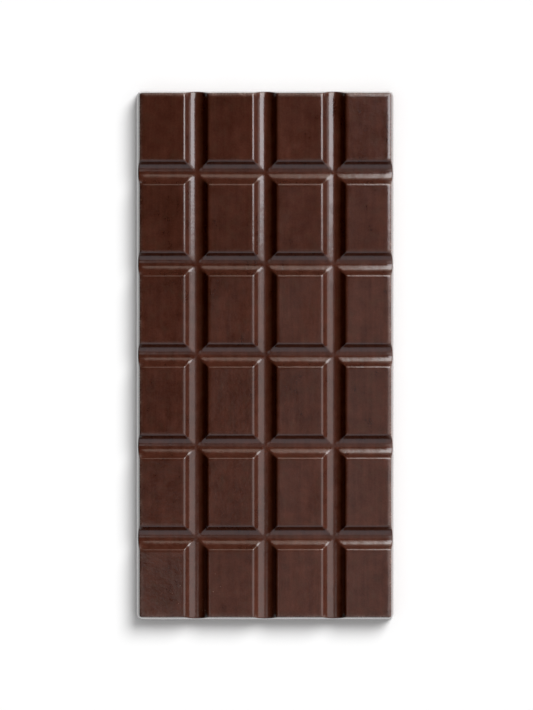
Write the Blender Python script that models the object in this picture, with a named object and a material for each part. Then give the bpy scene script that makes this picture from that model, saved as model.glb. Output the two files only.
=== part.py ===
"""A moulded bar of dark chocolate: rows and columns of flat-topped blocks, parted by round-bottomed snapping grooves.

The bar lies on its flat back. Its origin is the middle of the back, X runs across the bar, Y along it and Z up.
"""

from math import cos, radians, sin, tan

import bmesh
import bpy

MM = 0.001

# Driving sizes, in millimetres and degrees
COLUMNS = 4
ROWS = 6
BLOCK_WIDTH = 12.89
BLOCK_LENGTH = 19.54
THICKNESS = 7.3
OUTER_EXTRA = 0.13
GROOVE_WIDTH = 7.5
GROOVE_FLOOR_RADIUS = 3.6
GROOVE_WALL_ANGLE = radians(45)
BLOCK_EDGE_RADIUS = 0.65
SIDE_DRAFT = radians(9)
RIM_RADIUS = 0.35

# Facets of each arc
FLOOR_FACETS = 6
BLOCK_EDGE_FACETS = 3
RIM_FACETS = 3

# The chocolate's finish
CHOCOLATE_COLOUR = (0.062, 0.024, 0.016, 1.0)
CHOCOLATE_ROUGHNESS = 0.32

# The top outline's half sizes. The outer blocks reach a little further out than the inner ones.
HALF_WIDTH = (COLUMNS * BLOCK_WIDTH + (COLUMNS - 1) * GROOVE_WIDTH) / 2 + OUTER_EXTRA
HALF_LENGTH = (ROWS * BLOCK_LENGTH + (ROWS - 1) * GROOVE_WIDTH) / 2 + OUTER_EXTRA

# How far the straight wall between a groove's two arcs carries it out and down
ARC_RADII = GROOVE_FLOOR_RADIUS + BLOCK_EDGE_RADIUS
WALL_RUN = GROOVE_WIDTH / 2 - ARC_RADII * sin(GROOVE_WALL_ANGLE)
GROOVE_DEPTH = ARC_RADII * (1 - cos(GROOVE_WALL_ANGLE)) + WALL_RUN * tan(GROOVE_WALL_ANGLE)


def clear_scene():
    for thing in list(bpy.data.objects):
        bpy.data.objects.remove(thing, do_unlink=True)


def half_groove():
    """(distance from the groove's centre line, drop below the block tops), from the middle of the floor outwards."""
    points = []
    for step in range(FLOOR_FACETS + 1):
        slope = GROOVE_WALL_ANGLE * step / FLOOR_FACETS
        rise = GROOVE_FLOOR_RADIUS * (1 - cos(slope))
        points.append((GROOVE_FLOOR_RADIUS * sin(slope), GROOVE_DEPTH - rise))
    for step in range(BLOCK_EDGE_FACETS + 1):
        slope = GROOVE_WALL_ANGLE * (1 - step / BLOCK_EDGE_FACETS)
        inwards = BLOCK_EDGE_RADIUS * sin(slope)
        points.append((GROOVE_WIDTH / 2 - inwards, BLOCK_EDGE_RADIUS * (1 - cos(slope))))
    return points


def grid_lines(count, block, half_size):
    """(position, drop) of each line of the top's grid across count blocks: the two sides, and every groove's section."""
    half = half_groove()
    lines = [(-half_size, 0.0)]
    for groove in range(1, count):
        centre = (groove - count / 2) * (block + GROOVE_WIDTH)
        lines += [(centre - away, drop) for away, drop in reversed(half)]
        lines += [(centre + away, drop) for away, drop in half[1:]]
    lines.append((half_size, 0.0))
    return lines


def on_side(position, half_size, height, inset):
    """Moves a position at either end of the top onto the drafted side wall at this height, less the inset."""
    if abs(position) < half_size:
        return position
    reach = half_size + (THICKNESS - height) * tan(SIDE_DRAFT) - inset
    return reach if position > 0 else -reach


def bar_point(bm, across, along, height, inset):
    x = on_side(across, HALF_WIDTH, height, inset)
    y = on_side(along, HALF_LENGTH, height, inset)
    return bm.verts.new((x * MM, y * MM, height * MM))


def rim_profile():
    """(drop, inset) of each ring round the bar, from the top's own outline to the foot of the rounded rim."""
    turn = radians(90) - SIDE_DRAFT
    slopes = [turn * step / RIM_FACETS for step in range(RIM_FACETS + 1)]
    reach = RIM_RADIUS * (1 / cos(SIDE_DRAFT) - tan(SIDE_DRAFT))
    return [
        (RIM_RADIUS * (1 - cos(slope)), reach + RIM_RADIUS * ((1 - cos(slope)) * tan(SIDE_DRAFT) - sin(slope)))
        for slope in slopes
    ]


def add_top(bm):
    """The blocks and grooves as one grid, whose height follows the deeper groove at each point. Returns its outline."""
    columns = grid_lines(COLUMNS, BLOCK_WIDTH, HALF_WIDTH)
    rows = grid_lines(ROWS, BLOCK_LENGTH, HALF_LENGTH)
    inset = rim_profile()[0][1]
    grid = [
        [(bar_point(bm, x, y, THICKNESS - max(x_drop, y_drop), inset), (x, y)) for y, y_drop in rows]
        for x, x_drop in columns
    ]
    for left, right in zip(grid, grid[1:]):
        for near in range(len(rows) - 1):
            far = near + 1
            bm.faces.new([left[near][0], right[near][0], right[far][0], left[far][0]])
    front = [column[0] for column in grid]
    back = [column[-1] for column in grid]
    return front[:-1] + grid[-1][:-1] + back[:0:-1] + grid[0][:0:-1]


def add_ring(bm, above, places):
    """Joins a new ring of points, given as (height, inset), to the ring above it."""
    ring = [
        (bar_point(bm, x, y, height, inset), (x, y)) for (_, (x, y)), (height, inset) in zip(above, places)
    ]
    for i in range(len(ring)):
        bm.faces.new([above[i - 1][0], ring[i - 1][0], ring[i][0], above[i][0]])
    return ring


def make_bar():
    bm = bmesh.new()
    outline = add_top(bm)
    ring = outline
    for drop, inset in rim_profile()[1:]:
        ring = add_ring(bm, ring, [(top.co.z / MM - drop, inset) for top, _ in outline])
    ring = add_ring(bm, ring, [(0.0, 0.0)] * len(outline))
    bm.faces.new([vert for vert, _ in reversed(ring)])

    # Splitting each square along its longer diagonal keeps the ridges that run from the blocks' corners sharp
    bmesh.ops.triangulate(bm, faces=bm.faces[:], quad_method="LONG_EDGE")
    bmesh.ops.recalc_face_normals(bm, faces=bm.faces[:])
    mesh = bpy.data.meshes.new("chocolate_bar")
    bm.to_mesh(mesh)
    bm.free()
    mesh.shade_smooth()
    mesh.set_sharp_from_angle(angle=radians(30))
    return mesh


def chocolate():
    material = bpy.data.materials.new("dark_chocolate")
    material.use_nodes = True
    shader = material.node_tree.nodes["Principled BSDF"]
    shader.inputs["Base Color"].default_value = CHOCOLATE_COLOUR
    shader.inputs["Roughness"].default_value = CHOCOLATE_ROUGHNESS
    shader.inputs["Metallic"].default_value = 0.0
    return material


def main():
    clear_scene()
    bar = bpy.data.objects.new("chocolate_bar", make_bar())
    bar.data.materials.append(chocolate())
    bpy.context.scene.collection.objects.link(bar)


main()
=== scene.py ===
"""A moulded bar of dark chocolate, lying on a pale floor and seen from straight above.

Bright cards at its right and beyond its far end draw the long highlights in the grooves and the glints on
the ridges that run down from the blocks' corners. A window lights the chocolate itself, and daylight gives
its soft shadow on the floor. The bar is one closed mesh, which Geometry Nodes make from the section of its
grooves, and a few tiny crumbs lie on it. The bar's right is +X and its far end +Y.
"""

from collections import namedtuple
from math import cos, pi, radians, sin, tan

import bpy
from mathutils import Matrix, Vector


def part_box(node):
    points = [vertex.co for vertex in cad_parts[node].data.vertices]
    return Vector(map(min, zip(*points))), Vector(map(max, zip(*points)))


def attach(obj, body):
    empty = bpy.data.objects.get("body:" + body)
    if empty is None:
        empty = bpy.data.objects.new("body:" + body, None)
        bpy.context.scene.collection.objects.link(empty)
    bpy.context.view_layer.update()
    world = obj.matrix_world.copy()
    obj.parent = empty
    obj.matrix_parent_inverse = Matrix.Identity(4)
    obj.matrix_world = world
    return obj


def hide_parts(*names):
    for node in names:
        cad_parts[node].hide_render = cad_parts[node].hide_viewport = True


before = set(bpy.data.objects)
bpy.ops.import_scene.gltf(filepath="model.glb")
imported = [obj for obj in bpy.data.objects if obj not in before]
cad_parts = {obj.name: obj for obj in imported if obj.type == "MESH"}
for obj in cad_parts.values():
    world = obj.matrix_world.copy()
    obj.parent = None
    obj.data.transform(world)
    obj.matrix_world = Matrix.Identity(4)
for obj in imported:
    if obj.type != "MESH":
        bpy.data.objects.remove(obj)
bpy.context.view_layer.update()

BAR = "chocolate_bar"
BODY = "root"
MM = 0.001

# The bar's own sizes, in millimetres and degrees. What isn't here follows from the frame.
COLUMNS = 4
ROWS = 6
GROOVE_WIDTH = 7.87
FLOOR_RADIUS = 3.6
WALL_ANGLE = radians(45)
BLOCK_EDGE_RADIUS = 1.1
OUTER_EXTRA = 0.315
SIDE_DRAFT = radians(9)
SIDE_BELLY = 0.3
RIM_RADIUS = 0.35
FOOT_RADIUS = 0.3
RIDGE_ROUNDING = 0.45
CORNER_RADIUS = 0.4

# Unevenness, in millimetres: the most that a block's middle sinks, about how far the top waves and the
# outline wanders inwards, the most that is worn off the rim, how wide the band along the rim is that falls
# off a little, and how far it falls
BLOCK_SINK = 0.08
UNEVENNESS = 0.05
OUTLINE_UNEVENNESS = 0.06
RIM_WEAR = 0.2
RIM_BAND = 1.4
RIM_FALL = 0.09

# The share of the sink that every block has. The rim is worn where its noise is above the first number, and
# fully where it is higher by the second. This share of the wear lowers the rim, and this power of the height
# fades it down the side.
LEAST_SINK = 0.4
WEAR_FROM, WEAR_FADE = 0.3, 0.35
WEAR_LOWERS = 0.6
WEAR_POWER = 4

# Mesh lines: across a block, along a block, and down each stretch of half a groove, of the rim, side and foot
BLOCK_STEPS_ACROSS = 24
BLOCK_STEPS_ALONG = 34
FLOOR_STEPS = 8
WALL_STEPS = 3
EDGE_STEPS = 4
RIM_STEPS = 4
SIDE_STEPS = 8
FOOT_STEPS = 3

# Mesh points nearer to each other than this, in millimetres, become one
JOIN_WITHIN = 0.01

# The photograph: its size, where the top outline's middle falls in it, and the real size of one pixel
PHOTO_WIDTH, PHOTO_HEIGHT = 533, 710
BAR_MIDDLE_X, BAR_MIDDLE_Y = 265.35, 355.1
MM_PER_PIXEL = 0.2958
CAMERA_HEIGHT = 0.95

_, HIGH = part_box(BAR)
THICKNESS = HIGH.z / MM
HALF_WIDTH = HIGH.x / MM - THICKNESS * tan(SIDE_DRAFT)
HALF_LENGTH = HIGH.y / MM - THICKNESS * tan(SIDE_DRAFT)
BLOCK_WIDTH = (2 * (HALF_WIDTH - OUTER_EXTRA) - (COLUMNS - 1) * GROOVE_WIDTH) / COLUMNS
BLOCK_LENGTH = (2 * (HALF_LENGTH - OUTER_EXTRA) - (ROWS - 1) * GROOVE_WIDTH) / ROWS

# The chocolate's tones, how rough and how strong its shine is, and how high its fine lumps stand
COCOA_DARK = (0.03, 0.0083, 0.0046, 1.0)
COCOA_LIGHT = (0.078, 0.0247, 0.0154, 1.0)
COCOA_OLIVE = (0.05, 0.0225, 0.0135, 1.0)
COCOA_SCUFFED = (0.17, 0.105, 0.085, 1.0)
BROKEN_DARK = (0.11, 0.05, 0.035, 1.0)
BROKEN_LIGHT = (0.2, 0.11, 0.085, 1.0)
SHINE_ROUGHNESS = 0.17
BROKEN_ROUGHNESS = 0.6
SHINE_IOR = 1.6
LUMP_HEIGHT = 0.015

# In millimetres: the height from which the rim is scuffed, and the height up to which the back is dull,
# each with the height over which it fades
SCUFFS_FROM, SCUFFS_FADE = 5.5, 1.0
BACK_UP_TO, BACK_FADE = 0.2, 0.4

# Where the crumbs lie, in millimetres from the bar's middle, their size, how deep they sit in the surface,
# and the most they are turned, in radians
CRUMBS = [(-14.8, -64.7), (-13.3, -68.5), (-15.4, -70.0), (-25.2, -68.2), (-30.5, -70.4), (-27.5, -70.4),
          (-23.9, -73.5), (-25.6, -73.5), (-18.5, -72.3), (-18.7, -75.6), (-17.7, -75.6)]
CRUMB_SIZE = 0.3
CRUMB_HEIGHT = 0.05
CRUMB_SUNK = 0.02
CRUMB_TURN = 6.28

# The floor in metres, what lies beyond it, and how far the picture's darkest tones are deepened
FLOOR_REACH = 2.0
FLOOR_WHITE = (0.9, 0.9, 0.9, 1.0)
FLOOR_GLOW = 0.01
BEYOND_FLOOR = (0.93, 0.93, 0.93, 1)
BLACK_LEVEL = 0.002

# Colours of the cards' light, and in metres how far away the cards that stand for walls are and how far the
# cards on the floor are lifted off it
WHITE = (1, 1, 1)
COOL_WHITE = (0.96, 0.985, 1.04)
WARM_WALL = (1.0, 0.84, 0.72)
COOL_WALL = (0.86, 0.92, 1.0)
WALL_DISTANCE = 0.6
CARD_LIFT = 0.0002
MIDDLE = (0, 0, 0)


class Value:
    """A node's output. Python's arithmetic signs between two of them add Math nodes."""

    def __init__(self, tree, socket):
        self.tree = tree
        self.socket = socket

    def __add__(self, other):
        return self.tree.math("ADD", self, other)

    def __sub__(self, other):
        return self.tree.math("SUBTRACT", self, other)

    def __rsub__(self, other):
        return self.tree.math("SUBTRACT", other, self)

    def __mul__(self, other):
        return self.tree.math("MULTIPLY", self, other)

    def __truediv__(self, other):
        return self.tree.math("DIVIDE", self, other)

    __radd__ = __add__
    __rmul__ = __mul__


class Net:
    """A node tree, built one node at a time."""

    def __init__(self, group):
        self.group = group

    def add(self, kind, inputs=None, **settings):
        """Adds a node with these settings and feeds its inputs by name or number."""
        node = self.group.nodes.new(kind)
        for name, setting in settings.items():
            setattr(node, name, setting)
        for key, value in (inputs or {}).items():
            self.feed(self.socket(node.inputs, key), value)
        return node

    def socket(self, sockets, key):
        if isinstance(key, int):
            return sockets[key]
        return next(socket for socket in sockets if socket.name == key and socket.enabled)

    def feed(self, socket, value):
        if isinstance(value, Value):
            self.group.links.new(value.socket, socket)
        else:
            socket.default_value = value

    def out(self, kind, inputs=None, output=0, **settings):
        """Adds a node and returns one of its outputs."""
        node = self.add(kind, inputs, **settings)
        return Value(self, self.socket(node.outputs, output))

    def math(self, operation, *values):
        return self.out("ShaderNodeMath", dict(enumerate(values)), operation=operation)

    def share(self, value, whole):
        """How far value has come from 0 to whole, held between 0 and 1."""
        return self.out("ShaderNodeClamp", {"Value": value / whole}, "Result")

    def vector(self, x, y, z):
        return self.out("ShaderNodeCombineXYZ", {"X": x, "Y": y, "Z": z}, "Vector")

    def parts(self, vector):
        node = self.add("ShaderNodeSeparateXYZ", {"Vector": vector})
        return [Value(self, socket) for socket in node.outputs]

    def stretched(self, vector, x, y, z):
        return self.out("ShaderNodeVectorMath", {0: vector, 1: (x, y, z)}, operation="MULTIPLY")

    def noise(self, place, scale, detail, seed):
        """Soft noise between about -1 and 1, at a scale in features per metre."""
        inputs = {"Vector": place, "W": seed, "Scale": scale, "Detail": detail}
        return self.out("ShaderNodeTexNoise", inputs, noise_dimensions="4D") * 2 - 1

    def humps(self, place, scale, seed):
        """Soft humps between 0 and about 1.5, with level stretches between them."""
        return self.math("MAXIMUM", self.noise(place, scale, detail=2.0, seed=seed) + 0.5, 0.0)

    def blend(self, share, first, second):
        """A colour between the first and the second."""
        inputs = {"Factor": share, "A": first, "B": second}
        return self.out("ShaderNodeMix", inputs, "Result", data_type="RGBA")


class Maker(Net):
    """A Geometry Nodes tree with named inputs, which makes one piece."""

    KINDS = {int: "NodeSocketInt", float: "NodeSocketFloat", bpy.types.Material: "NodeSocketMaterial"}

    def __init__(self, name, takes_mesh=False, **sizes):
        super().__init__(bpy.data.node_groups.new(name, "GeometryNodeTree"))
        self.settings = {}
        if takes_mesh:
            self.group.interface.new_socket("Geometry", in_out="INPUT", socket_type="NodeSocketGeometry")
        for label, size in sizes.items():
            kind = self.KINDS[type(size)]
            title = label.replace("_", " ")
            socket = self.group.interface.new_socket(title, in_out="INPUT", socket_type=kind)
            self.settings[socket.identifier] = size
        self.group.interface.new_socket("Geometry", in_out="OUTPUT", socket_type="NodeSocketGeometry")
        self.start = self.group.nodes.new("NodeGroupInput")

    def size(self, label):
        return Value(self, self.start.outputs[label])

    def random(self, low, high, seed):
        inputs = {"Min": low, "Max": high, "Seed": seed}
        return self.out("FunctionNodeRandomValue", inputs, "Value", data_type="FLOAT")

    def keep(self, mesh, name, value):
        """Stores a vector on the mesh's points, for the rings drawn out from them or for the material."""
        inputs = {"Geometry": mesh, "Name": name, "Value": value}
        return self.out("GeometryNodeStoreNamedAttribute", inputs, data_type="FLOAT_VECTOR", domain="POINT")

    def kept(self, name):
        inputs = {"Name": name}
        return self.out("GeometryNodeInputNamedAttribute", inputs, "Attribute", data_type="FLOAT_VECTOR")

    def moved(self, mesh, place):
        return self.out("GeometryNodeSetPosition", {"Geometry": mesh, "Position": place})

    def finish(self, geometry, material):
        whole = self.out("GeometryNodeRealizeInstances", {"Geometry": geometry})
        whole = self.out("GeometryNodeSetMaterial", {"Geometry": whole, "Material": material})
        end = self.group.nodes.new("NodeGroupOutput")
        self.feed(end.inputs["Geometry"], whole)

    def make(self, name, mesh=None):
        """Runs the tree once on a new object, and returns the object with the result as its plain mesh."""
        start = mesh or bpy.data.meshes.new(name)
        piece = bpy.data.objects.new(name, start)
        bpy.context.scene.collection.objects.link(piece)
        modifier = piece.modifiers.new(self.group.name, "NODES")
        modifier.node_group = self.group
        for identifier, setting in self.settings.items():
            modifier[identifier] = setting
        bpy.context.view_layer.update()
        graph = bpy.context.evaluated_depsgraph_get()
        result = bpy.data.meshes.new_from_object(piece.evaluated_get(graph))
        piece.modifiers.remove(modifier)
        piece.data = result
        result.name = name
        if result.materials[0] is None:
            result.materials.pop(index=0)
        return piece


# What is known of a grid line: its place, its drop below the block tops, its way across its block, its
# block's number, the groove's depth and the bar's half size
Section = namedtuple("Section", "place drop way_across block depth half_size")


def groove_section(tree, line, count, block, block_steps):
    """The section at a grid line's number, counted from the bar's first side. The lines crowd together where
    the groove's floor and the blocks' edges are round, and the two outer blocks reach a bit further out."""
    groove, angle = tree.size("Groove width"), tree.size("Wall angle")
    floor, edge = tree.size("Floor radius"), tree.size("Block edge radius")
    floor_steps, wall_steps = tree.size("Floor steps"), tree.size("Wall steps")
    edge_steps = tree.size("Edge steps")
    half_steps = floor_steps + wall_steps + edge_steps
    sine, cosine = tree.math("SINE", angle), tree.math("COSINE", angle)
    wall_run = groove / 2 - (floor + edge) * sine
    wall_drop = wall_run * tree.math("TANGENT", angle)
    depth = (floor + edge) * (1 - cosine) + wall_drop

    # A cell is a block and the groove after it. Side runs from -1 to 1 across that groove.
    cell_steps = block_steps + half_steps * 2
    cell = tree.math("FLOOR", line / cell_steps)
    within = line - cell * cell_steps
    across_block = tree.share(within, block_steps)
    side = tree.math("MAXIMUM", within - block_steps, 0.0) / half_steps - 1
    away = tree.math("ABSOLUTE", side) * half_steps
    floor_turn = tree.share(away, floor_steps) * angle
    up_wall = tree.share(away - floor_steps, wall_steps)
    edge_turn = (1 - tree.share(away - floor_steps - wall_steps, edge_steps)) * angle
    reach = (
        floor * tree.math("SINE", floor_turn)
        + wall_run * up_wall
        + edge * (sine - tree.math("SINE", edge_turn))
    )
    rise = (
        floor * (1 - tree.math("COSINE", floor_turn))
        + wall_drop * up_wall
        + edge * (tree.math("COSINE", edge_turn) - cosine)
    )
    half_size = (count * (block + groove) - groove) / 2
    place = cell * (block + groove) + across_block * block + groove / 2
    place = place + tree.math("SIGN", side) * reach - half_size
    in_first = tree.math("COMPARE", cell, 0.0, 0.5) * (1 - across_block)
    in_last = tree.math("COMPARE", cell, count - 1, 0.5) * across_block
    outer = tree.size("Outer extra")
    place = place + (in_last - in_first) * outer
    return Section(place, depth - rise, across_block, cell, depth, half_size + outer)


def hump(share):
    """0 at both ends of a share and 1 halfway."""
    return share * (1 - share) * 4


def block_drop(tree, x, y, flat_place):
    """How far a point of the top lies below the block tops. The deeper groove wins, and the ridge between two
    of them is rounded off halfway down. Each block's top sinks a little in its middle, some more than others,
    and nothing on it is quite level."""
    rounding = tree.size("Ridge rounding") * hump(tree.math("MAXIMUM", x.drop, y.drop) / x.depth)
    drop = tree.math("SMOOTH_MAX", x.drop, y.drop, rounding)
    seed = tree.size("Seed")
    block = tree.vector(x.block, y.block, seed)
    chance = tree.out("ShaderNodeTexWhiteNoise", {"Vector": block}, "Value", noise_dimensions="3D")
    sink = tree.size("Block sink") * (chance * (1 - LEAST_SINK) + LEAST_SINK)
    drop = drop + sink * hump(x.way_across) * hump(y.way_across)
    return drop + tree.size("Unevenness") * tree.humps(flat_place, scale=160.0, seed=seed)


def pressed_corner(tree, x, y, radius):
    """Presses the square at each plan corner into a quarter disc. Returns the new place and the way out."""
    near_x = tree.share(tree.math("ABSOLUTE", x.place) - x.half_size + radius, radius)
    near_y = tree.share(tree.math("ABSOLUTE", y.place) - y.half_size + radius, radius)
    bent_x = near_x * tree.math("SQRT", 1 - near_y * near_y / 2)
    bent_y = near_y * tree.math("SQRT", 1 - near_x * near_x / 2)
    sign_x, sign_y = tree.math("SIGN", x.place), tree.math("SIGN", y.place)
    new_x = x.place + sign_x * radius * (bent_x - near_x)
    new_y = y.place + sign_y * radius * (bent_y - near_y)
    return new_x, new_y, sign_x * bent_x, sign_y * bent_y


def at_an_end(tree, line, last_line):
    """1 on the first and the last grid line, and 0 between them."""
    return tree.math("COMPARE", line, 0.0, 0.5) + tree.math("COMPARE", line, last_line, 0.5)


def bar_top(tree):
    """The top, with its blocks and grooves, as one grid. Its points keep three things: their place, their way
    out with the wear of the rim, which is 0 inside the border, and how near the rim they lie."""
    columns, rows = tree.size("Columns"), tree.size("Rows")
    steps_across, steps_along = tree.size("Block steps across"), tree.size("Block steps along")
    groove_steps = (tree.size("Floor steps") + tree.size("Wall steps") + tree.size("Edge steps")) * 2
    last_column = columns * (steps_across + groove_steps) - groove_steps
    last_row = rows * (steps_along + groove_steps) - groove_steps
    lines = {
        "Size X": last_column,
        "Size Y": last_row,
        "Vertices X": last_column + 1,
        "Vertices Y": last_row + 1,
    }
    sheet = tree.out("GeometryNodeMeshGrid", lines, "Mesh")
    column_line, row_line, _ = tree.parts(tree.out("GeometryNodeInputPosition"))
    column_line = tree.math("ROUND", column_line + last_column / 2)
    row_line = tree.math("ROUND", row_line + last_row / 2)
    x = groove_section(tree, column_line, columns, tree.size("Block width"), steps_across)
    y = groove_section(tree, row_line, rows, tree.size("Block length"), steps_along)

    # The last stretch of the top before the rim falls off a little
    flat_place = tree.vector(x.place, y.place, 0.0)
    inside_x = x.half_size - tree.math("ABSOLUTE", x.place)
    inside_y = y.half_size - tree.math("ABSOLUTE", y.place)
    rim = 1 - tree.share(tree.math("MINIMUM", inside_x, inside_y), tree.size("Rim band"))
    drop = block_drop(tree, x, y, flat_place) + tree.size("Rim fall") * rim * rim

    # The outline wanders inwards by a hair, and the rim has small worn places
    seed = tree.size("Seed")
    wander = tree.humps(flat_place, scale=110.0, seed=seed + 10)
    rim_noise = tree.noise(flat_place, scale=420.0, detail=2.0, seed=seed + 20)
    worn = tree.share(rim_noise - WEAR_FROM, WEAR_FADE)
    on_border = tree.math(
        "MAXIMUM", at_an_end(tree, column_line, last_column), at_an_end(tree, row_line, last_row)
    )
    new_x, new_y, out_x, out_y = pressed_corner(tree, x, y, tree.size("Corner radius"))
    inwards = tree.size("Outline unevenness") * wander * on_border
    place = tree.vector(new_x - out_x * inwards, new_y - out_y * inwards, tree.size("Thickness") - drop)
    sheet = tree.keep(sheet, "top", place)
    sheet = tree.keep(sheet, "way", tree.vector(out_x * on_border, out_y * on_border, worn * on_border))
    sheet = tree.keep(sheet, "rim", tree.vector(rim, rim, rim))
    return tree.moved(sheet, tree.kept("top"))


def rim_profile(radius, steps):
    """(drop, inset) of each ring round the bar's top edge, which turns from level to the drafted side."""
    turn = pi / 2 - SIDE_DRAFT
    reach = radius * (1 / cos(SIDE_DRAFT) - tan(SIDE_DRAFT))
    slopes = [turn * step / steps for step in range(steps + 1)]
    return [
        (radius * (1 - cos(slope)), reach + radius * ((1 - cos(slope)) * tan(SIDE_DRAFT) - sin(slope)))
        for slope in slopes
    ]


def foot_profile(radius, steps):
    """The height where the bar's rounded foot begins, and (height, inset) of each ring below, which turn from
    the drafted side under to the back."""
    turn = pi / 2 + SIDE_DRAFT
    slopes = [turn * step / steps for step in range(1, steps + 1)]
    top = radius * (1 + sin(SIDE_DRAFT))
    rings = []
    for slope in slopes:
        height = top - radius * (sin(SIDE_DRAFT) + sin(slope - SIDE_DRAFT))
        inset = radius * (cos(SIDE_DRAFT) - cos(slope - SIDE_DRAFT)) + (top - height) * tan(SIDE_DRAFT)
        rings.append((height, inset))
    return top, rings


def open_edge(tree):
    """Picks the mesh's edges that have a face on one side alone."""
    faces = tree.out("GeometryNodeInputMeshEdgeNeighbors", output="Face Count")
    return tree.out("FunctionNodeCompare", {"A": faces, "B": 1}, data_type="INT", operation="EQUAL")


def ring_below(tree, mesh, place):
    """Draws the mesh's open edge out into a new ring of faces, and moves its points to their place."""
    drawn = {"Mesh": mesh, "Selection": open_edge(tree), "Offset Scale": 0.0}
    ring = tree.add("GeometryNodeExtrudeMesh", drawn, mode="EDGES")
    top = Value(tree, ring.outputs["Top"])
    moved = {"Geometry": Value(tree, ring.outputs["Mesh"]), "Selection": top, "Position": place}
    return tree.out("GeometryNodeSetPosition", moved)


def bar_sides(tree, sheet):
    """The rim, sides and foot, as rings drawn down from the top's border. Each point moves out along its way
    by the draft and the side's slight belly, less the inset of the rounded rim or foot and the wear."""
    thickness = tree.size("Thickness")
    draft = tree.math("TANGENT", tree.size("Side draft"))
    top_x, top_y, top_z = tree.parts(tree.kept("top"))
    way_x, way_y, worn = tree.parts(tree.kept("way"))
    worn_off = worn * tree.size("Rim wear")
    rim_z = top_z - worn_off * WEAR_LOWERS

    def on_side(height, inset, wear=1.0):
        fall = thickness - height
        belly = tree.math("SINE", fall / thickness * pi) * tree.size("Side belly")
        reach = fall * draft + belly - inset * MM - worn_off * wear
        return tree.vector(top_x + way_x * reach, top_y + way_y * reach, height)

    rim = rim_profile(RIM_RADIUS, RIM_STEPS)
    foot_top, foot = foot_profile(FOOT_RADIUS, FOOT_STEPS)
    bar = tree.moved(sheet, on_side(rim_z, rim[0][1]))
    for ring_drop, inset in rim[1:]:
        bar = ring_below(tree, bar, on_side(rim_z - ring_drop * MM, inset))
    side_top = rim_z - rim[-1][0] * MM
    for step in range(1, SIDE_STEPS + 1):
        down = step / SIDE_STEPS
        height = side_top * (1 - down) + foot_top * MM * down
        bar = ring_below(tree, bar, on_side(height, inset=0.0, wear=(1 - down) ** WEAR_POWER))
    for height, inset in foot:
        bar = ring_below(tree, bar, on_side(height * MM, inset, wear=0.0))
    return bar


def closed_back(tree, bar):
    """Closes the bar underneath with one flat back."""
    outline = tree.out("GeometryNodeMeshToCurve", {"Mesh": bar, "Selection": open_edge(tree)})
    back = tree.out("GeometryNodeFillCurve", {"Curve": outline}, mode="TRIANGLES")
    back = tree.out("GeometryNodeFlipFaces", {"Mesh": back})
    join = tree.group.nodes.new("GeometryNodeJoinGeometry")
    for piece in (back, bar):
        tree.group.links.new(piece.socket, join.inputs[0])
    joined = {"Geometry": Value(tree, join.outputs[0]), "Distance": JOIN_WITHIN * MM}
    return tree.out("GeometryNodeMergeByDistance", joined)


def bar_tree(chocolate):
    """The bar's tree, with its named inputs in metres, radians and mesh lines."""
    return Maker(
        "moulded bar",
        Columns=COLUMNS,
        Rows=ROWS,
        Block_width=BLOCK_WIDTH * MM,
        Block_length=BLOCK_LENGTH * MM,
        Groove_width=GROOVE_WIDTH * MM,
        Floor_radius=FLOOR_RADIUS * MM,
        Block_edge_radius=BLOCK_EDGE_RADIUS * MM,
        Outer_extra=OUTER_EXTRA * MM,
        Wall_angle=WALL_ANGLE,
        Thickness=THICKNESS * MM,
        Side_draft=SIDE_DRAFT,
        Side_belly=SIDE_BELLY * MM,
        Ridge_rounding=RIDGE_ROUNDING * MM,
        Corner_radius=CORNER_RADIUS * MM,
        Block_sink=BLOCK_SINK * MM,
        Unevenness=UNEVENNESS * MM,
        Outline_unevenness=OUTLINE_UNEVENNESS * MM,
        Rim_wear=RIM_WEAR * MM,
        Rim_band=RIM_BAND * MM,
        Rim_fall=RIM_FALL * MM,
        Block_steps_across=BLOCK_STEPS_ACROSS,
        Block_steps_along=BLOCK_STEPS_ALONG,
        Floor_steps=FLOOR_STEPS,
        Wall_steps=WALL_STEPS,
        Edge_steps=EDGE_STEPS,
        Seed=4.0,
        Chocolate=chocolate,
    )


def moulded_bar(chocolate):
    """The whole bar: its top as a grid, its rim, sides and foot as rings drawn down from it, and its back."""
    tree = bar_tree(chocolate)
    bar = closed_back(tree, bar_sides(tree, bar_top(tree)))
    tree.finish(bar, tree.size("Chocolate"))
    piece = tree.make(BAR + "_moulded")
    for name in ("top", "way"):
        piece.data.attributes.remove(piece.data.attributes[name])
    piece.data.shade_smooth()
    piece.data.set_sharp_from_angle(angle=radians(35))
    return piece


def crumb_spots(bar):
    """A mesh of loose points, one on the bar's surface at each crumb's place."""
    spots = []
    for x, y in CRUMBS:
        hit, spot, _, _ = bar.ray_cast(Vector((x * MM, y * MM, 1.0)), Vector((0, 0, -1)))
        if hit:
            spots.append(spot - Vector((0, 0, CRUMB_SUNK * MM)))
    mesh = bpy.data.meshes.new("crumb_spots")
    mesh.from_pydata(spots, [], [])
    return mesh


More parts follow.
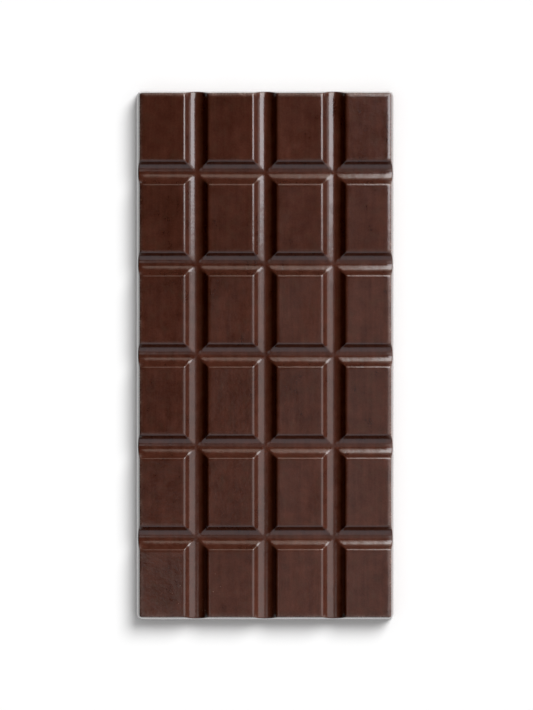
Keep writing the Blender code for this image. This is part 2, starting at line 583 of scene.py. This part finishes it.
def crumbs(bar, chocolate):
    """A few tiny flakes of chocolate that lie on the bar."""
    tree = Maker(
        "crumbs",
        takes_mesh=True,
        Crumb_size=CRUMB_SIZE * MM,
        Crumb_height=CRUMB_HEIGHT * MM,
        Seed=7,
        Chocolate=chocolate,
    )
    size, height, seed = tree.size("Crumb size"), tree.size("Crumb height"), tree.size("Seed")
    ball = tree.out("GeometryNodeMeshIcoSphere", {"Radius": 0.5, "Subdivisions": 1}, "Mesh")
    turn = tree.random(low=0.0, high=CRUMB_TURN, seed=seed)
    across = tree.random(low=0.6, high=1.3, seed=seed + 1)
    along = tree.random(low=0.5, high=1.0, seed=seed + 2)
    flakes = tree.out("GeometryNodeInstanceOnPoints", {
        "Points": tree.size("Geometry"),
        "Instance": ball,
        "Rotation": tree.vector(0.0, 0.0, turn),
        "Scale": tree.vector(across * size, along * size, height * 2),
    })
    tree.finish(flakes, tree.size("Chocolate"))
    return tree.make("crumbs_on_top", crumb_spots(bar))


def new_material(name):
    """A new material, its shader and its net of nodes."""
    material = bpy.data.materials.new(name)
    material.use_nodes = True
    return material, material.node_tree.nodes["Principled BSDF"], Net(material.node_tree)


def dark_chocolate():
    """Dark chocolate, cloudy and faintly streaked in its colour, with pale scuffs along the rim. Its skin
    shines where the mould pressed it, with fine lumps in the shine, and is dull and uneven on the back."""
    material, shader, net = new_material("moulded_dark_chocolate")
    place = net.out("ShaderNodeTexCoord", output="Object")
    _, _, height = net.parts(place)
    patches = net.noise(place, scale=60.0, detail=2.0, seed=1.0)
    clouds = net.noise(place, scale=330.0, detail=3.0, seed=2.0)
    grain = net.noise(place, scale=2100.0, detail=2.0, seed=3.0)
    streaks = net.noise(net.stretched(place, 1.0, 0.07, 1.0), scale=900.0, detail=1.0, seed=4.0)
    olive = net.noise(place, scale=480.0, detail=2.0, seed=9.0) * 0.9
    tone = patches * 0.4 + clouds * 0.5 + grain * 0.3 + streaks * 0.3 + 0.5
    colour = net.blend(olive, net.blend(tone, COCOA_DARK, COCOA_LIGHT), COCOA_OLIVE)
    rim = net.out("ShaderNodeAttribute", output="Fac", attribute_name="rim")
    scuffs = net.share(rim * rim * (clouds * 0.6 + grain * 0.6 + 0.25), 1.0)
    scuffed = scuffs * net.share(height - SCUFFS_FROM * MM, SCUFFS_FADE * MM)
    net.feed(shader.inputs["Base Color"], net.blend(scuffed, colour, COCOA_SCUFFED))

    back = 1 - net.share(height - BACK_UP_TO * MM, BACK_FADE * MM)
    roughness = clouds * 0.04 + grain * 0.03 + scuffed * 0.2 + back * 0.22 + SHINE_ROUGHNESS
    net.feed(shader.inputs["Roughness"], roughness)
    shader.inputs["IOR"].default_value = SHINE_IOR

    lumps = net.noise(place, scale=950.0, detail=2.0, seed=5.0)
    ripples = net.noise(place, scale=150.0, detail=3.0, seed=6.0) * back
    relief = {"Distance": LUMP_HEIGHT * MM, "Height": lumps + ripples * 16}
    net.feed(shader.inputs["Normal"], net.out("ShaderNodeBump", relief, "Normal"))
    return material


def crumb_chocolate():
    """Broken chocolate, paler and duller than the moulded skin."""
    material, shader, net = new_material("broken_chocolate")
    place = net.out("ShaderNodeTexCoord", output="Object")
    tone = net.noise(place, scale=3000.0, detail=2.0, seed=8.0) + 0.5
    net.feed(shader.inputs["Base Color"], net.blend(tone, BROKEN_DARK, BROKEN_LIGHT))
    shader.inputs["Roughness"].default_value = BROKEN_ROUGHNESS
    return material


def rectangle(name, width, length):
    """A flat sheet about its own middle, whose mesh has no material yet."""
    x, y = width / 2, length / 2
    mesh = bpy.data.meshes.new(name)
    mesh.from_pydata([(-x, -y, 0), (x, -y, 0), (x, y, 0), (-x, y, 0)], [], [(0, 1, 2, 3)])
    return bpy.data.objects.new(name, mesh)


def white_floor():
    """The plain white floor that the bar lies on."""
    floor = rectangle("floor", 2 * FLOOR_REACH, 2 * FLOOR_REACH)
    bpy.context.scene.collection.objects.link(floor)
    material, shader, _ = new_material("floor_white")
    shader.inputs["Base Color"].default_value = FLOOR_WHITE
    shader.inputs["Roughness"].default_value = 0.9
    shader.inputs["Specular IOR Level"].default_value = 0.0
    shader.inputs["Emission Color"].default_value = (1.0, 1.0, 1.0, 1.0)
    shader.inputs["Emission Strength"].default_value = FLOOR_GLOW
    floor.data.materials.append(material)
    return floor


def around(azimuth, elevation, distance):
    """A place at this distance from the bar's middle. Azimuth 0 is to its right and 90 beyond its far end."""
    a, e = radians(azimuth), radians(elevation)
    return (distance * cos(e) * cos(a), distance * cos(e) * sin(a), distance * sin(e))


def turned_to(thing, place, aim):
    """Puts a lamp or a card at its place, facing the point it is aimed at."""
    bpy.context.scene.collection.objects.link(thing)
    thing.location = place
    thing.rotation_mode = "QUATERNION"
    thing.rotation_quaternion = (Vector(place) - Vector(aim)).to_track_quat("Z", "Y")


def lamp_for(name, light, place, aim, lit):
    """A lamp that gives shading to these objects alone, and no gloss."""
    lamp = bpy.data.objects.new(name, light)
    turned_to(lamp, place, aim)
    lamp.visible_glossy = False
    lamp.visible_camera = False
    group = bpy.data.collections.new(name + "_lights")
    for thing in lit:
        group.objects.link(thing)
    lamp.light_linking.receiver_collection = group


def bright_card(name, place, size, brightness, aim=None, colour=WHITE):
    """A glowing card that is seen in the bar's gloss alone. It lies level, or faces the point it is aimed at.
    Its place and size are in metres."""
    card = rectangle(name, *size)
    turned_to(card, place, aim or (place[0], place[1], 0.0))
    material, shader, _ = new_material(name)
    shader.inputs["Base Color"].default_value = (0, 0, 0, 1)
    shader.inputs["Specular IOR Level"].default_value = 0.0
    shader.inputs["Emission Color"].default_value = (*colour, 1)
    shader.inputs["Emission Strength"].default_value = brightness
    material.cycles.emission_sampling = "NONE"
    card.data.materials.append(material)
    card.visible_camera = False
    card.visible_diffuse = False
    card.visible_shadow = False


def softboxes():
    """The two bright cards of the long highlights and the glints."""
    bright_card("softbox_far", (0.203, 0.29, 0.28), size=(0.314, 0.32), brightness=6.8)
    bright_card("softbox_near", (0.219, 0.092, 0.28), size=(0.282, 0.076), brightness=6.4, colour=COOL_WHITE)


def walls_and_ceiling():
    """Dimmer cards, for the sheen on the slopes and the veil over the blocks at the right and near side."""
    right, far, near = (around(*way, WALL_DISTANCE) for way in ((-10, 48), (57, 42), (-90, 36)))
    bright_card("right_wall", right, size=(0.5, 0.66), brightness=1.5, aim=MIDDLE)
    bright_card("far_wall", far, size=(0.62, 0.66), brightness=1.35, aim=MIDDLE, colour=WARM_WALL)
    bright_card("near_wall", near, size=(0.9, 0.48), brightness=0.77, aim=MIDDLE, colour=COOL_WALL)
    bright_card("ceiling", (0.37, -0.31, 0.9), size=(0.76, 0.76), brightness=0.36)
    bright_card("near_ceiling", (-0.22, -0.28, 0.95), size=(0.32, 0.32), brightness=0.8)


def floor_cards():
    """Cards flat on the floor round the bar, which its sides mirror when they are seen from above."""
    side, end = (0.08, 0.16), (0.24, 0.08)
    bright_card("left_floor", (-0.078, 0.0, CARD_LIFT), side, brightness=0.9)
    bright_card("near_floor", (0.0, -0.119, CARD_LIFT), end, brightness=1.0)
    bright_card("right_floor", (0.078, 0.0, CARD_LIFT), side, brightness=1.4)
    bright_card("far_floor", (0.0, 0.119, CARD_LIFT), end, brightness=1.6)


def window(chocolate):
    """The chocolate's own soft light, from its right and a little behind. It fades towards the far end."""
    light = bpy.data.lights.new("window", "AREA")
    light.size = 0.5
    light.energy = 2.35
    light.spread = radians(38)
    lamp_for("window", light, around(25, 42, 1.5), (0.02, -0.15, 0), chocolate)


def daylight(name, floor, place, strength, spread):
    """Even, soft light for the floor, which gives the bar its shadow."""
    light = bpy.data.lights.new(name, "SUN")
    light.energy = strength
    light.angle = spread
    lamp_for(name, light, place, MIDDLE, [floor])


def pale_surroundings():
    """Beyond the floor all is one pale grey, which is seen and gives no light."""
    world = bpy.data.worlds.new("studio")
    world.use_nodes = True
    bpy.context.scene.world = world
    net = Net(world.node_tree)
    back = world.node_tree.nodes["Background"]
    back.inputs["Color"].default_value = BEYOND_FLOOR
    net.feed(back.inputs["Strength"], net.out("ShaderNodeLightPath", output="Is Camera Ray"))


def studio(chocolate, floor):
    """All the light there is, for the pieces of chocolate and for the floor."""
    softboxes()
    walls_and_ceiling()
    floor_cards()
    window(chocolate)
    daylight("daylight", floor, around(53, 47, 2.0), strength=3.02, spread=radians(33))
    daylight("skylight", floor, (0, 0, 2.0), strength=1.3, spread=radians(110))
    pale_surroundings()


def camera():
    """The photograph's view: straight down, with the bar's top at its true place and size in the frame."""
    data = bpy.data.cameras.new("camera")
    eye = bpy.data.objects.new("camera", data)
    bpy.context.scene.collection.objects.link(eye)
    data.sensor_width = 36.0
    above_top = CAMERA_HEIGHT - HIGH.z
    data.lens = data.sensor_width * above_top / (PHOTO_HEIGHT * MM_PER_PIXEL * MM)
    eye.location = (
        (PHOTO_WIDTH / 2 - BAR_MIDDLE_X) * MM_PER_PIXEL * MM,
        (BAR_MIDDLE_Y - PHOTO_HEIGHT / 2) * MM_PER_PIXEL * MM,
        CAMERA_HEIGHT,
    )
    bpy.context.scene.camera = eye


def picture_tones():
    """True colours, with the darkest brown a hair deeper, as in the photograph."""
    view = bpy.context.scene.view_settings
    view.view_transform = "Standard"
    view.use_curve_mapping = True
    view.curve_mapping.black_level = (BLACK_LEVEL, BLACK_LEVEL, BLACK_LEVEL)


def main():
    bar = moulded_bar(dark_chocolate())
    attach(bar, BODY)
    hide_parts(BAR)
    flakes = crumbs(bar, crumb_chocolate())
    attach(flakes, BODY)
    studio([bar, flakes], white_floor())
    camera()
    picture_tones()


main()
